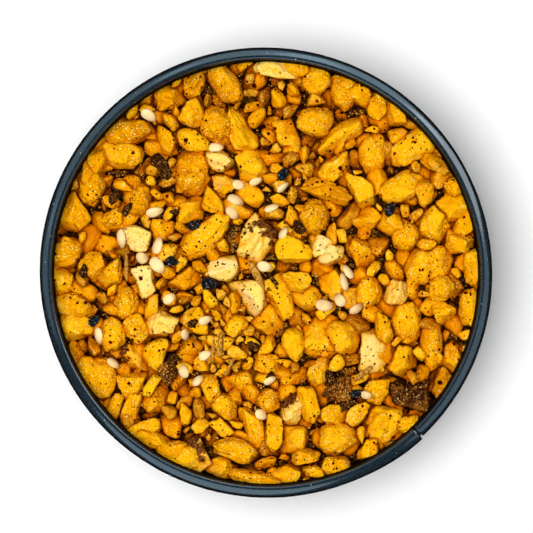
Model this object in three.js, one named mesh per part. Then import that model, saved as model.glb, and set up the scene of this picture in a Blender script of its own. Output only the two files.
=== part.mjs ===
// A shallow round tin of dukkah: chopped nuts, seeds and spices filled to just under a rolled rim.
// Millimetres, +Z up. The origin is the middle of the underside, on the surface the tin stands on.
import * as THREE from "three";

// Driving dimensions of the tin.
const RIM_DIAMETER = 76;
const TIN_HEIGHT = 30;
const BEAD_DIAMETER = 2;
const WALL = 0.5;
const GAP = 0.3;
// Hand-rolled sheet isn't truly round: the radius swells and shrinks twice on the way round.
const OVAL = 0.18;
const OVAL_AT = THREE.MathUtils.degToRad(150);
// The side seam is a lap: one end of the sheet lies on the other, and its edge shows as a step.
const SEAM_AT = THREE.MathUtils.degToRad(-46.7);
const LAP_STEP = 0.3;
const LAP_SPREAD = THREE.MathUtils.degToRad(24);
// The foot is a pressed cap that closes the tin from below.
const CAP_THICKNESS = 0.9;
const CAP_LIP = 0.45;
const CAP_HEIGHT = 3.4;
const CAP_CORNER = 1.2;
// The filling.
const HEADROOM = 4.6;
const SURFACE_RELIEF = 1.9;
const CORE_DEPTH = 3.8;
const NUT_LENGTH = [3.8, 8.6];
const NUT_ASPECT = [0.55, 0.95];
const NUT_SPACING = 3.5;
const NUT_COUNT = 300;
const SURFACE_RINGS = 26;

const BEAD_RADIUS = BEAD_DIAMETER / 2;
const RIM_RADIUS = RIM_DIAMETER / 2;
const INNER_RADIUS = RIM_RADIUS - BEAD_DIAMETER;
const OUTER_RADIUS = INNER_RADIUS + WALL;
const BEAD_CENTRE = { r: RIM_RADIUS - BEAD_RADIUS, z: TIN_HEIGHT - BEAD_RADIUS };
const CAP_INNER_RADIUS = OUTER_RADIUS + LAP_STEP + 0.2;
const FLOOR_Z = CAP_THICKNESS + GAP;
const FILL_RADIUS = INNER_RADIUS - GAP;
const FILL_TOP = TIN_HEIGHT - HEADROOM;

// A repeatable source of numbers from 0 to 1.
function seeded(seed) {
  let state = seed;
  return () => {
    state = (state + 0x6d2b79f5) | 0;
    let t = Math.imul(state ^ (state >>> 15), 1 | state);
    t = (t + Math.imul(t ^ (t >>> 7), 61 | t)) ^ t;
    return ((t ^ (t >>> 14)) >>> 0) / 4294967296;
  };
}

const between = (random, [low, high]) => low + (high - low) * random();

// How far the sheet stands out of round at an azimuth.
const outOfRound = (azimuth) => OVAL * Math.cos(2 * (azimuth - OVAL_AT));

// How far the outer sheet is lifted by the one beneath it. It is 1 at the seam's edge, fades along
// the lap, and is 0 past the edge.
function lapShare(azimuth) {
  const turn = 2 * Math.PI;
  const behind = (((SEAM_AT - azimuth) % turn) + turn) % turn;
  return behind < LAP_SPREAD ? 0.5 + 0.5 * Math.cos((Math.PI * behind) / LAP_SPREAD) : 0;
}

// Azimuths of the columns round the tin, with the two sides of the seam's edge close together.
function columns(count) {
  const edge = THREE.MathUtils.degToRad(0.12);
  const rest = 2 * Math.PI - 2 * edge;
  const list = [];
  for (let i = 0; i < count; i += 1) {
    list.push(SEAM_AT + edge + (rest * i) / (count - 1));
  }
  return list;
}

// A ring surface: a closed section of { r, z } points swept round the axis. At the lap a point moves
// out by its share, lift, of the step, and up by its share, rise.
function sweptRing(section, azimuths) {
  const positions = [];
  const index = [];
  const rows = section.length;
  azimuths.forEach((azimuth) => {
    section.forEach(({ r, z, lift = 0, rise = 0 }) => {
      const lap = LAP_STEP * lapShare(azimuth);
      const radius = r + outOfRound(azimuth) + lap * lift;
      positions.push(radius * Math.cos(azimuth), radius * Math.sin(azimuth), z + lap * rise);
    });
  });
  azimuths.forEach((_, column) => {
    const next = (column + 1) % azimuths.length;
    for (let row = 0; row < rows; row += 1) {
      const above = (row + 1) % rows;
      const a = column * rows + row;
      const b = next * rows + row;
      const c = next * rows + above;
      const d = column * rows + above;
      index.push(a, b, c, a, c, d);
    }
  });
  return geometryOf(positions, index);
}

function geometryOf(positions, index) {
  const geometry = new THREE.BufferGeometry();
  geometry.setAttribute("position", new THREE.Float32BufferAttribute(positions, 3));
  geometry.setIndex(index);
  geometry.computeVertexNormals();
  return geometry;
}

// The wall with its rim rolled outwards into a bead, as one section from the inside foot, over
// the bead and down the outside.
function tinBody() {
  const section = [{ r: INNER_RADIUS, z: FLOOR_Z }];
  const bead = THREE.MathUtils.degToRad(180);
  const tuckedUnder = -Math.acos((OUTER_RADIUS - BEAD_CENTRE.r) / BEAD_RADIUS);
  const steps = 13;
  for (let i = 0; i <= steps; i += 1) {
    const angle = bead + ((tuckedUnder - bead) * i) / steps;
    const outward = Math.max(0, Math.cos(angle) * 0.5 + 0.5);
    section.push({
      r: BEAD_CENTRE.r + BEAD_RADIUS * Math.cos(angle),
      z: BEAD_CENTRE.z + BEAD_RADIUS * Math.sin(angle),
      lift: i === steps ? 1 : outward,
      rise: 0.5 * Math.max(0, Math.sin(angle)),
    });
  }
  section.push({ r: OUTER_RADIUS, z: FLOOR_Z, lift: 1 });
  return sweptRing(section.reverse(), columns(109));
}

// The foot cap: a flat disc with a rounded corner and a low lip round the wall's lower end.
function tinBase() {
  const outside = CAP_INNER_RADIUS + CAP_LIP;
  const profile = [new THREE.Vector2(0, 0)];
  const steps = 5;
  for (let i = 0; i <= steps; i += 1) {
    const angle = -Math.PI / 2 + (Math.PI / 2) * (i / steps);
    profile.push(
      new THREE.Vector2(
        outside - CAP_CORNER + CAP_CORNER * Math.cos(angle),
        CAP_CORNER + CAP_CORNER * Math.sin(angle),
      ),
    );
  }
  profile.push(new THREE.Vector2(outside, CAP_HEIGHT));
  profile.push(new THREE.Vector2(CAP_INNER_RADIUS, CAP_HEIGHT));
  profile.push(new THREE.Vector2(CAP_INNER_RADIUS, CAP_THICKNESS));
  profile.push(new THREE.Vector2(0, CAP_THICKNESS));
  const geometry = new THREE.LatheGeometry(profile, 72);
  geometry.rotateX(Math.PI / 2);
  const position = geometry.getAttribute("position");
  for (let i = 0; i < position.count; i += 1) {
    const r = Math.hypot(position.getX(i), position.getY(i));
    if (r > INNER_RADIUS / 2) {
      const azimuth = Math.atan2(position.getY(i), position.getX(i));
      const grown = r + outOfRound(azimuth);
      position.setXY(i, grown * Math.cos(azimuth), grown * Math.sin(azimuth));
    }
  }
  return geometry;
}

// Nut pieces lying in the surface: each is the upper half of an ellipsoid at a seeded place.
function nutLumps() {
  const random = seeded(20);
  const lumps = [];
  for (let attempt = 0; attempt < NUT_COUNT * 30 && lumps.length < NUT_COUNT; attempt += 1) {
    const radius = (FILL_RADIUS - 0.8) * Math.sqrt(random());
    const azimuth = 2 * Math.PI * random();
    const x = radius * Math.cos(azimuth);
    const y = radius * Math.sin(azimuth);
    if (lumps.some((other) => Math.hypot(other.x - x, other.y - y) < NUT_SPACING)) continue;
    const long = between(random, NUT_LENGTH) / 2;
    const wide = long * between(random, NUT_ASPECT);
    lumps.push({
      x,
      y,
      long,
      wide,
      high: wide * 1.1,
      top: FILL_TOP - SURFACE_RELIEF * random() ** 1.6,
      yaw: Math.PI * random(),
    });
  }
  return lumps;
}

// Height of the filling's surface at a place.
function surfaceHeight(lumps, x, y) {
  let height = FILL_TOP - CORE_DEPTH;
  lumps.forEach((lump) => {
    const along = (x - lump.x) * Math.cos(lump.yaw) + (y - lump.y) * Math.sin(lump.yaw);
    const across = (y - lump.y) * Math.cos(lump.yaw) - (x - lump.x) * Math.sin(lump.yaw);
    const reach = (along / lump.long) ** 2 + (across / lump.wide) ** 2;
    if (reach < 1) {
      height = Math.max(height, lump.top - lump.high * (1 - Math.sqrt(1 - reach)));
    }
  });
  return height;
}

// The heap of dukkah as one solid: a flat foot, a straight side along the wall, and a lumpy top
// on rings of vertices, six more on each ring than on the one inside it.
function dukkahHeap() {
  const lumps = nutLumps();
  const positions = [0, 0, surfaceHeight(lumps, 0, 0)];
  const index = [];
  const firstOf = (ring) => (ring === 0 ? 0 : 1 + 3 * ring * (ring - 1));
  for (let ring = 1; ring <= SURFACE_RINGS; ring += 1) {
    for (let i = 0; i < 6 * ring; i += 1) {
      const azimuth = (2 * Math.PI * i) / (6 * ring);
      const share = ring / SURFACE_RINGS;
      const radius = (FILL_RADIUS + outOfRound(azimuth) * share) * share;
      const x = radius * Math.cos(azimuth);
      const y = radius * Math.sin(azimuth);
      positions.push(x, y, surfaceHeight(lumps, x, y));
    }
    for (let side = 0; side < 6; side += 1) {
      for (let i = 0; i < ring; i += 1) {
        const outer = firstOf(ring) + side * ring + i;
        const outerNext = firstOf(ring) + ((side * ring + i + 1) % (6 * ring));
        const innerCount = Math.max(1, 6 * (ring - 1));
        const inner = firstOf(ring - 1) + ((side * (ring - 1) + i) % innerCount);
        index.push(inner, outer, outerNext);
        if (i < ring - 1) {
          const innerNext = firstOf(ring - 1) + ((side * (ring - 1) + i + 1) % innerCount);
          index.push(inner, outerNext, innerNext);
        }
      }
    }
  }
  const rimStart = firstOf(SURFACE_RINGS);
  const rimCount = 6 * SURFACE_RINGS;
  const footStart = positions.length / 3;
  for (let i = 0; i < rimCount; i += 1) {
    const at = 3 * (rimStart + i);
    positions.push(positions[at], positions[at + 1], FLOOR_Z);
  }
  const footMiddle = positions.length / 3;
  positions.push(0, 0, FLOOR_Z);
  for (let i = 0; i < rimCount; i += 1) {
    const next = (i + 1) % rimCount;
    index.push(rimStart + i, footStart + i, footStart + next);
    index.push(rimStart + i, footStart + next, rimStart + next);
    index.push(footMiddle, footStart + next, footStart + i);
  }
  return geometryOf(positions, index);
}

function named(name, geometry, color, roughness, metalness) {
  const material = new THREE.MeshStandardMaterial({ color, roughness, metalness });
  const mesh = new THREE.Mesh(geometry, material);
  mesh.name = name;
  return mesh;
}

const tinOfDukkah = new THREE.Group();
tinOfDukkah.add(named("tin_body", tinBody(), 0x33444f, 0.38, 0.3));
tinOfDukkah.add(named("tin_base", tinBase(), 0x2b3942, 0.42, 0.3));
tinOfDukkah.add(named("dukkah", dukkahHeap(), 0xd68c0a, 0.7, 0));

export default tinOfDukkah;
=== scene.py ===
"""A shallow round tin of dukkah: chopped nuts, seeds and spices under a rolled, painted rim.

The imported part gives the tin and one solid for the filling. Here the tin gets its smooth painted
surface, and the filling becomes loose pieces laid one by one on a height map over a smaller core.
Lengths are millimetres until a mesh is made, and metres in the scene.
"""
import math

import bpy
import bmesh
import numpy as np
from mathutils import Matrix, Vector
from mathutils.bvhtree import BVHTree


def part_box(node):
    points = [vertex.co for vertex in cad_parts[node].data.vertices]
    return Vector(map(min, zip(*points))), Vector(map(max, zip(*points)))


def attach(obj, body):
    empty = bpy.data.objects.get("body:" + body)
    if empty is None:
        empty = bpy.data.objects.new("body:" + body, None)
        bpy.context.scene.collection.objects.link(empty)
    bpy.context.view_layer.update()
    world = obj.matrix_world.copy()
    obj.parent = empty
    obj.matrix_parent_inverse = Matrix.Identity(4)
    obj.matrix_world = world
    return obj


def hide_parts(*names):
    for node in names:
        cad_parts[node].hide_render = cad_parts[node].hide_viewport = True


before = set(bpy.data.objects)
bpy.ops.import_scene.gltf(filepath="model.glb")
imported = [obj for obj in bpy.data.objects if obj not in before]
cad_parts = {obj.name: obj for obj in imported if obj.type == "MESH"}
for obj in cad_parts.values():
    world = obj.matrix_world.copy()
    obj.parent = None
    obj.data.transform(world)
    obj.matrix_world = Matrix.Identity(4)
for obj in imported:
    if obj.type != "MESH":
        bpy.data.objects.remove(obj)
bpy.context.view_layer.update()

MM = 0.001

# ---------------------------------------------------------------- driving sizes, in millimetres
BODY_LOW, BODY_HIGH = (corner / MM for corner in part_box("tin_body"))
BASE_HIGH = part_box("tin_base")[1] / MM
FILL_LOW, FILL_HIGH = (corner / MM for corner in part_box("dukkah"))
RIM_RADIUS = (BODY_HIGH.x - BODY_LOW.x) / 4 + (BODY_HIGH.y - BODY_LOW.y) / 4
BEAD_RADIUS = 1.0
WALL = 0.5
INNER_RADIUS = RIM_RADIUS - 2 * BEAD_RADIUS
OUTER_RADIUS = INNER_RADIUS + WALL
LAP_STEP = 0.3
RIM_TOP = BODY_HIGH.z - LAP_STEP / 2
OVAL = 0.18
OVAL_AT = math.radians(150)
SEAM_AT = math.radians(-46.7)
LAP_SPREAD = math.radians(24)
FILL_RADIUS = (FILL_HIGH.x - FILL_LOW.x) / 4 + (FILL_HIGH.y - FILL_LOW.y) / 4 - 0.1
FILL_TOP = FILL_HIGH.z
CORE_TOP = FILL_TOP - 5.0


# ---------------------------------------------------------------- small helpers
def linear(hex_colour):
    """An sRGB hex colour as the linear RGBA that a shader takes."""
    values = [int(hex_colour[i : i + 2], 16) / 255 for i in (1, 3, 5)]
    return [v / 12.92 if v <= 0.04045 else ((v + 0.055) / 1.055) ** 2.4 for v in values] + [1.0]


def out_of_round(azimuth):
    """How far hand-rolled sheet stands out of a true circle."""
    return OVAL * np.cos(2 * (azimuth - OVAL_AT))


def lap_share(azimuth):
    """1 at the edge of the seam's upper sheet, fading to 0 along the lap, and 0 past the edge."""
    behind = (SEAM_AT - azimuth) % (2 * math.pi)
    return np.where(behind < LAP_SPREAD, 0.5 + 0.5 * np.cos(math.pi * behind / LAP_SPREAD), 0.0)


def piece_from(name, vertices_mm, faces, smooth=True, **attributes):
    """A mesh object at the origin, with float attributes on its points."""
    mesh = bpy.data.meshes.new(name)
    mesh.from_pydata((np.asarray(vertices_mm) * MM).tolist(), [], faces)
    mesh.polygons.foreach_set("use_smooth", [smooth] * len(mesh.polygons))
    for label, values in attributes.items():
        layer = mesh.attributes.new(label, "FLOAT", "POINT")
        layer.data.foreach_set("value", np.asarray(values, dtype=np.float32))
    mesh.update()
    made = bpy.data.objects.new(name, mesh)
    bpy.context.scene.collection.objects.link(made)
    return made


def belongs(piece, stands_for, material=None):
    """Puts a finished piece on the part: its body and the CAD node it stands for."""
    if material and not piece.data.materials:
        piece.data.materials.append(material)
    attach(piece, "root")
    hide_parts(stands_for)
    return piece


# ---------------------------------------------------------------- materials
def material_named(name):
    material = bpy.data.materials.new(name)
    material.use_nodes = True
    material.node_tree.nodes.clear()
    return material, material.node_tree


def node(tree, kind, *values, stops=(), **settings):
    """Adds a node and joins it up. Values go into its inputs in order. A setting that starts with a
    capital is the input of that name, i6 is input 6, and any other is a property. A value is a plain
    one, a hex colour, an output, or a node, which gives its first output. Stops are those of a ramp,
    as (place, hex colour), or as (place, number) for a mask."""
    made = tree.nodes.new(kind if "Node" in kind else "ShaderNode" + kind)
    inputs = dict(enumerate(values))
    for key, value in settings.items():
        if key[0].isupper():
            inputs[key.replace("_", " ")] = value
        elif key[1:].isdigit():
            inputs[int(key[1:])] = value
        else:
            setattr(made, key, value)
    for key, value in inputs.items():
        if isinstance(value, bpy.types.Node):
            value = value.outputs[0]
        if isinstance(value, bpy.types.NodeSocket):
            tree.links.new(value, made.inputs[key])
        else:
            made.inputs[key].default_value = linear(value) if str(value).startswith("#") else value
    if stops:
        elements = made.color_ramp.elements
        while len(elements) < len(stops):
            elements.new(0.5)
        for element, (place, value) in zip(elements, stops):
            element.position = place
            element.color = linear(value) if isinstance(value, str) else [value] * 3 + [1.0]
    return made


def finish_with(tree, colour, roughness, bump=None, **settings):
    """The surface shader and the output. bump is (height, strength, depth in millimetres)."""
    if bump:
        height, strength, depth_mm = bump
        settings["Normal"] = node(tree, "Bump", Height=height, Strength=strength,
                                  Distance=depth_mm * MM)
    shader = node(tree, "BsdfPrincipled", Base_Color=colour, Roughness=roughness, **settings)
    node(tree, "OutputMaterial", Surface=shader)


def stoved_paint():
    """Tinplate under a stoved blue-black paint: a satin skin with a faint orange peel, so lights
    show as soft bands along the bead, and a few specks of spice dust."""
    material, tree = material_named("stoved_blue_black_paint_on_tinplate")
    place = node(tree, "TexCoord").outputs["Object"]
    cloud, haze, peel = (
        node(tree, "TexNoise", Vector=place, Scale=0.5 / (size_mm * MM), Detail=detail,
             Roughness=roughness)
        for size_mm, detail, roughness in ((0.22, 2.0, 0.7), (0.5, 3.0, 0.5), (0.25, 2.0, 0.5)))
    body = node(tree, "ValToRGB", cloud, stops=[(0.35, "#111a21"), (0.65, "#1d2a34")])
    specks = node(tree, "TexVoronoi", Vector=place, Scale=1 / (1.5 * MM))
    specks = node(tree, "ValToRGB", specks, stops=[(0.05, 0.9), (0.085, 0.0)])
    height = node(tree, "SeparateXYZ", place).outputs["Z"]
    near_rim = node(tree, "Math", height, (RIM_TOP - 3) * MM, operation="GREATER_THAN")
    dust = node(tree, "Math", specks, near_rim, operation="MULTIPLY")
    body = node(tree, "Mix", dust, data_type="RGBA", i6=body, i7="#b5a88c").outputs[2]
    rough = node(tree, "MapRange", Value=haze, To_Min=0.09, To_Max=0.17)
    finish_with(tree, body, rough, (peel, 0.2, 0.04), Specular_IOR_Level=0.6,
                Specular_Tint="#c9ecff")
    return material


def matt_paint_with_painted_shade():
    """The same paint made matt and near black: painted shade inside the wall and on the outer flank of
    the bead.
    """
    material, tree = material_named("stoved_paint_matt_with_painted_shade")
    place = node(tree, "TexCoord").outputs["Object"]
    film = node(tree, "TexNoise", Vector=place, Scale=0.5 / (1.2 * MM), Detail=4.0, Roughness=0.6)
    body = node(tree, "ValToRGB", film, stops=[(0.35, "#040506"), (0.7, "#090705")])
    finish_with(tree, body, 0.9, (film, 0.2, 0.05), Specular_IOR_Level=0.05)
    return material


def spiced_nut(name, deep, middle, bright, pale, relief=1.0, chipped="#ffd878", salted="#fff09c"):
    """Chopped nuts roasted in oil, salt and ground spice: a matt, grainy skin that is mottled by oil,
    with pepper specks, and with salt where a piece is gritty. Fresh broken faces are paler and bits of
    husk are brown. Painted shade deepens the colour of flanks, creases and what lies low, and pale
    patches and pale sharp edges paint highlights and glints where there is no painted shade."""
    material, tree = material_named(name)
    place = node(tree, "TexCoord").outputs["Object"]
    grit, low, tone, broken, ridge, husk = (
        node(tree, "Attribute", attribute_name=mark).outputs["Fac"]
        for mark in ("grit", "low", "tone", "pale", "ridge", "husk"))
    grain, oily, mottled, wear, glint_noise, drifts, flakes, bran, crowd = (
        node(tree, "TexNoise", Vector=place, Scale=0.5 / (size_mm * MM), Detail=detail,
             Roughness=roughness)
        for size_mm, detail, roughness in (
            (0.15, 1.0, 0.7), (1.8, 2.0, 0.5), (0.5, 2.0, 0.5), (0.8, 3.0, 0.5), (0.9, 4.0, 0.7),
            (1.2, 2.0, 0.5), (2.6, 4.0, 0.6), (0.3, 3.0, 0.7), (2.5, 1.0, 0.5)))

    shade = tone
    rough = node(tree, "Math", grit, 1.7, 0.4, operation="MULTIPLY_ADD")
    for pattern, weight in ((grain, rough), (oily, 0.8), (mottled, 0.7)):
        uneven = node(tree, "Math", pattern, 0.5, operation="SUBTRACT")
        shade = node(tree, "Math", uneven, weight, shade, operation="MULTIPLY_ADD")
    shade = node(tree, "Math", shade, 0.22, operation="ADD")
    # Where low is high, painted shade also shifts the colour towards deep orange.
    shade = node(tree, "Math", low, -0.5, shade, operation="MULTIPLY_ADD")
    body = node(tree, "ValToRGB", shade,
                stops=[(0.0, deep), (0.4, middle), (0.75, bright), (1.0, pale)])

    sway = node(tree, "TexNoise", Vector=place, Scale=1.6 / MM, Detail=1.0).outputs["Color"]
    sway = node(tree, "VectorMath", sway, (0.5 * MM,) * 3, place, operation="MULTIPLY_ADD")
    crystals = node(tree, "TexVoronoi", Vector=sway, Scale=1 / (0.52 * MM))
    worn, out_of_painted_shade, painted_glint_share, crystals, patchy, salt_high, flaked, bran, crowded = (
        node(tree, "ValToRGB", pattern, stops=stops) for pattern, stops in (
            (wear, [(0.3, 0.3), (0.6, 0.95)]), (low, [(0.0, 1.0), (0.35, 0.25), (0.6, 0.0)]),
            (glint_noise, [(0.63, 0.0), (0.71, 0.7)]), (crystals, [(0.18, 1.0), (0.27, 0.0)]),
            (drifts, [(0.35, 0.25), (0.6, 1.5)]), (low, [(0.1, 1.0), (0.5, 0.1)]),
            (flakes, [(0.53, 0.0), (0.57, 1.0)]), (bran, [(0.38, "#2c1004"), (0.62, "#8a5222")]),
            (crowd, [(0.35, 0.4), (0.65, 2.6)])))
    shares = {}
    for layer, factors, over in (
            # The edge layer is a painted highlight: pale along sharp ridges, only where there is no
            # painted shade.
            ("broken", (broken, worn, out_of_painted_shade), chipped), ("edge", (ridge, worn, 0.4, out_of_painted_shade), pale),
            # Pale patches that paint oil glints, only where there is no painted shade.
            ("painted_glint", (painted_glint_share, out_of_painted_shade), chipped),
            ("salt", (crystals, grit, patchy, salt_high), salted), ("husk", (husk, flaked), bran)):
        share = factors[0]
        for factor in factors[1:]:
            share = node(tree, "Math", share, factor, operation="MULTIPLY")
        shares[layer] = share
        body = node(tree, "Mix", share, data_type="RGBA", i6=body, i7=over).outputs[2]

    # The first of these multiplies in painted shade from low; the others are pepper specks.
    painted_shade_and_pepper = [node(tree, "ValToRGB", low, stops=[(0.0, "#ffffff"), (0.35, "#e6c168"),
                                                 (0.65, "#b2822a"), (0.95, "#2c1402")])]
    for apart_mm, radius in ((0.8, 0.15), (2.3, 0.1)):
        spot = node(tree, "TexVoronoi", Vector=sway, Scale=1 / (apart_mm * MM)).outputs
        spread = node(tree, "Math", spot["Color"], crowded, operation="MULTIPLY")
        spread = node(tree, "Math", spot["Distance"], spread, operation="DIVIDE")
        painted_shade_and_pepper.append(node(tree, "ValToRGB", spread, stops=[
            (0.7 * radius, "#280e02"), (1.0 * radius, "#b4701c"), (1.25 * radius, "#ffffff")]))
    for stain in painted_shade_and_pepper:
        body = node(tree, "Mix", 1.0, data_type="RGBA", blend_type="MULTIPLY", i6=body,
                    i7=stain).outputs[2]
    pits = node(tree, "Math", shares["salt"], 0.5, grain, operation="MULTIPLY_ADD")
    finish_with(tree, body, 0.6, (pits, 0.6 * relief, 0.3), Specular_IOR_Level=0.01,
                Subsurface_Weight=0.35, Subsurface_Radius=(1.0, 0.4, 0.1), Subsurface_Scale=0.8 * MM)
    return material


def plain_seed(name, dark, light, size_mm, roughness, specular, bump_strength=0.4):
    """A seed coat: two close colours by blotches and by seed, deeper at the pointed tip, and a fine
    relief."""
    material, tree = material_named(name)
    place = node(tree, "TexCoord").outputs["Object"]
    tone, tip = (node(tree, "Attribute", attribute_name=mark).outputs["Fac"]
                 for mark in ("tone", "tip"))
    fine = node(tree, "TexNoise", Vector=place, Scale=0.5 / (size_mm * MM), Detail=3.0, Roughness=0.6)
    uneven = node(tree, "Math", fine, 0.5, operation="SUBTRACT")
    shade = node(tree, "Math", uneven, 0.8, tone, operation="MULTIPLY_ADD")
    pointed = node(tree, "Math", tip, 2.0, operation="POWER")
    shade = node(tree, "Math", pointed, -1.0, shade, operation="MULTIPLY_ADD")
    body = node(tree, "ValToRGB", shade, stops=[(0.0, dark), (1.0, light)])
    finish_with(tree, body, roughness, (fine, bump_strength, 0.08), Specular_IOR_Level=specular)
    return material


def pitted_coat(name, dark, light, salted, sheen, bare=0.5, pit_mm=0.6):
    """A skin pitted like a peppercorn, with a dull sheen on its ridges and specks of salt. The light
    colour on the pit ridges is the coat's own, except on the nigella seed, where it is a painted glint.
    """
    material, tree = material_named(name)
    place = node(tree, "TexCoord").outputs["Object"]
    pits = node(tree, "TexNoise", Vector=place, Scale=0.5 / (0.16 * MM), Detail=3.0, Roughness=0.7)
    body = node(tree, "ValToRGB", pits, stops=[(bare, dark), (bare + 0.14, light)])
    salt = node(tree, "TexVoronoi", Vector=place, Scale=1 / (0.55 * MM))
    salt = node(tree, "ValToRGB", salt, stops=[(0.14, 1.0), (0.22, 0.0)])
    body = node(tree, "Mix", salt, data_type="RGBA", i6=body, i7=salted).outputs[2]
    finish_with(tree, body, 0.4, (pits, 1.0, pit_mm), Specular_IOR_Level=sheen)
    return material


# ---------------------------------------------------------------- the tin
def swept_ring(name, section, azimuths, *moves, capped=False):
    """A section of (r, z) swept round the axis: a closed one, or one whose two ends are capped. Each
    move is how far by azimuth, and which way, as (r, z), by point of the section."""
    azimuths = np.asarray(azimuths)
    place = np.array(section, float)[None, :, :] + np.zeros((len(azimuths), 1, 1))
    place[:, :, 0] += out_of_round(azimuths)[:, None]
    for far, way in moves:
        place += far(azimuths)[:, None, None] * np.array(way, float)[None, :, :]
    x = place[:, :, 0] * np.cos(azimuths)[:, None]
    y = place[:, :, 0] * np.sin(azimuths)[:, None]
    vertices = np.stack([x, y, place[:, :, 1]], axis=2).reshape(-1, 3)
    rows, columns = len(section), len(azimuths)
    column, row = np.meshgrid(np.arange(columns), np.arange(rows - capped), indexing="ij")
    after, above = (column + 1) % columns, (row + 1) % rows
    corners = [column * rows + row, after * rows + row, after * rows + above, column * rows + above]
    faces = np.stack([c.ravel() for c in corners], axis=1).tolist()
    if capped:
        first, last = np.arange(columns) * rows, np.arange(columns) * rows + rows - 1
        faces += [first[::-1].tolist(), last.tolist()]
    return piece_from(name, vertices, faces)


def round_azimuths(count):
    """Even steps round the tin, and a few close together where the bead's ends meet at the seam."""
    close = SEAM_AT + np.radians([0.05, 0.12, 0.2, 0.42, 0.5, 0.58])
    return np.append(close, np.linspace(close[-1], SEAM_AT + 2 * math.pi - 0.001, count)[1:])


def seam_gap(azimuth):
    """1 in the narrow gap between the bead's two ends, and 0 elsewhere."""
    past = np.degrees((azimuth - SEAM_AT) % (2 * math.pi))
    return np.clip(np.minimum(past - 0.1, 0.54 - past) / 0.06, 0, 1)


def tin_wall(finishes):
    """The wall and its rolled bead, whose ends meet at the seam and whose crest lies a little inward.
    The second finish, matt and painted dark as shade, is inside the wall and on the outer flank of the
    bead."""
    centre_r, centre_z = RIM_RADIUS - BEAD_RADIUS, RIM_TOP - BEAD_RADIUS
    foot = BODY_LOW.z
    section = [(INNER_RADIUS, foot), (INNER_RADIUS, foot + 1)]
    lift, into = [(0, 0)] * 2, [(0, 0)] * 2
    tucked = -math.acos((OUTER_RADIUS - centre_r) / BEAD_RADIUS)
    for angle in np.linspace(math.pi, tucked, 40):
        across, up = math.cos(angle), math.sin(angle)
        crest_in = 0.56 * max(0.0, up) ** 2
        section.append((centre_r + BEAD_RADIUS * across - crest_in, centre_z + BEAD_RADIUS * up))
        lift.append((LAP_STEP * (0.35 + 0.65 * across), 0.5 * LAP_STEP * max(0.0, up)))
        into.append((-0.45 * across, -0.45 * max(0.0, up)))
    for height in (centre_z - 1.6, foot + 1, foot):
        section.append((OUTER_RADIUS, height))
        lift.append((LAP_STEP, 0))
        into.append((0, 0))
    wall = swept_ring("tin_wall", section[::-1], round_azimuths(721), (lap_share, lift[::-1]),
                      (seam_gap, into[::-1]))
    for finish in finishes:
        wall.data.materials.append(finish)
    for face in wall.data.polygons:
        x, y, depth = face.center[0] / MM, face.center[1] / MM, RIM_TOP - face.center[2] / MM
        radius = math.hypot(x, y) - out_of_round(math.atan2(y, x))
        # Inside the wall and on the outer flank of the bead, the second finish paints shade: dark and
        # matt.
        inner = depth > 0.36 and radius < INNER_RADIUS + 0.25
        shaded_outer_flank = 0.42 < depth < 1.6 and radius > OUTER_RADIUS + 0.9
        face.material_index = int(inner or shaded_outer_flank)
    return wall


def tin_foot():
    """The pressed foot cap, drawn in snugly round the wall, with a shallow stacking ring beneath."""
    outside, lip_top = BASE_HIGH.x - OVAL / 2, BASE_HIGH.z
    corner = 1.2
    floor = BODY_LOW.z - 0.3
    section = [(outside - 6.5, 0.35), (outside - 5.8, 0.0)]
    for angle in np.linspace(-math.pi / 2, 0, 9):
        section.append((outside - corner + corner * math.cos(angle), corner + corner * math.sin(angle)))
    lip_inside = OUTER_RADIUS + 0.08
    section += [(outside, lip_top - 0.5), (outside - 0.12, lip_top - 0.12), (outside - 0.3, lip_top),
                (lip_inside + 0.2, lip_top - 0.1), (lip_inside, lip_top - 0.5), (lip_inside, floor)]
    given_way = [(LAP_STEP, 0) if OUTER_RADIUS < r < outside - 0.35 else (0, 0) for r, _ in section]
    return swept_ring("tin_foot", section, np.linspace(0, 2 * math.pi, 240, endpoint=False),
                      (lap_share, given_way), capped=True)


# ---------------------------------------------------------------- shapes of the nut pieces
def ball_directions(count):
    """Evenly spread directions and the triangles that join them."""
    turn = math.pi * (3 - math.sqrt(5))
    step = np.arange(count)
    z = 1 - (2 * step + 1) / count
    ring = np.sqrt(1 - z * z)
    points = np.stack([ring * np.cos(turn * step), ring * np.sin(turn * step), z], axis=1)
    hull = bmesh.new()
    for point in points:
        hull.verts.new(point)
    bmesh.ops.convex_hull(hull, input=hull.verts)
    bmesh.ops.recalc_face_normals(hull, faces=hull.faces)
    hull.verts.index_update()
    faces = np.array([[v.index for v in f.verts] for f in hull.faces])
    points = np.array([v.co[:] for v in hull.verts])
    hull.free()
    return points, faces


FINE, MEDIUM, COARSE = ball_directions(1200), ball_directions(230), ball_directions(90)


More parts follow.
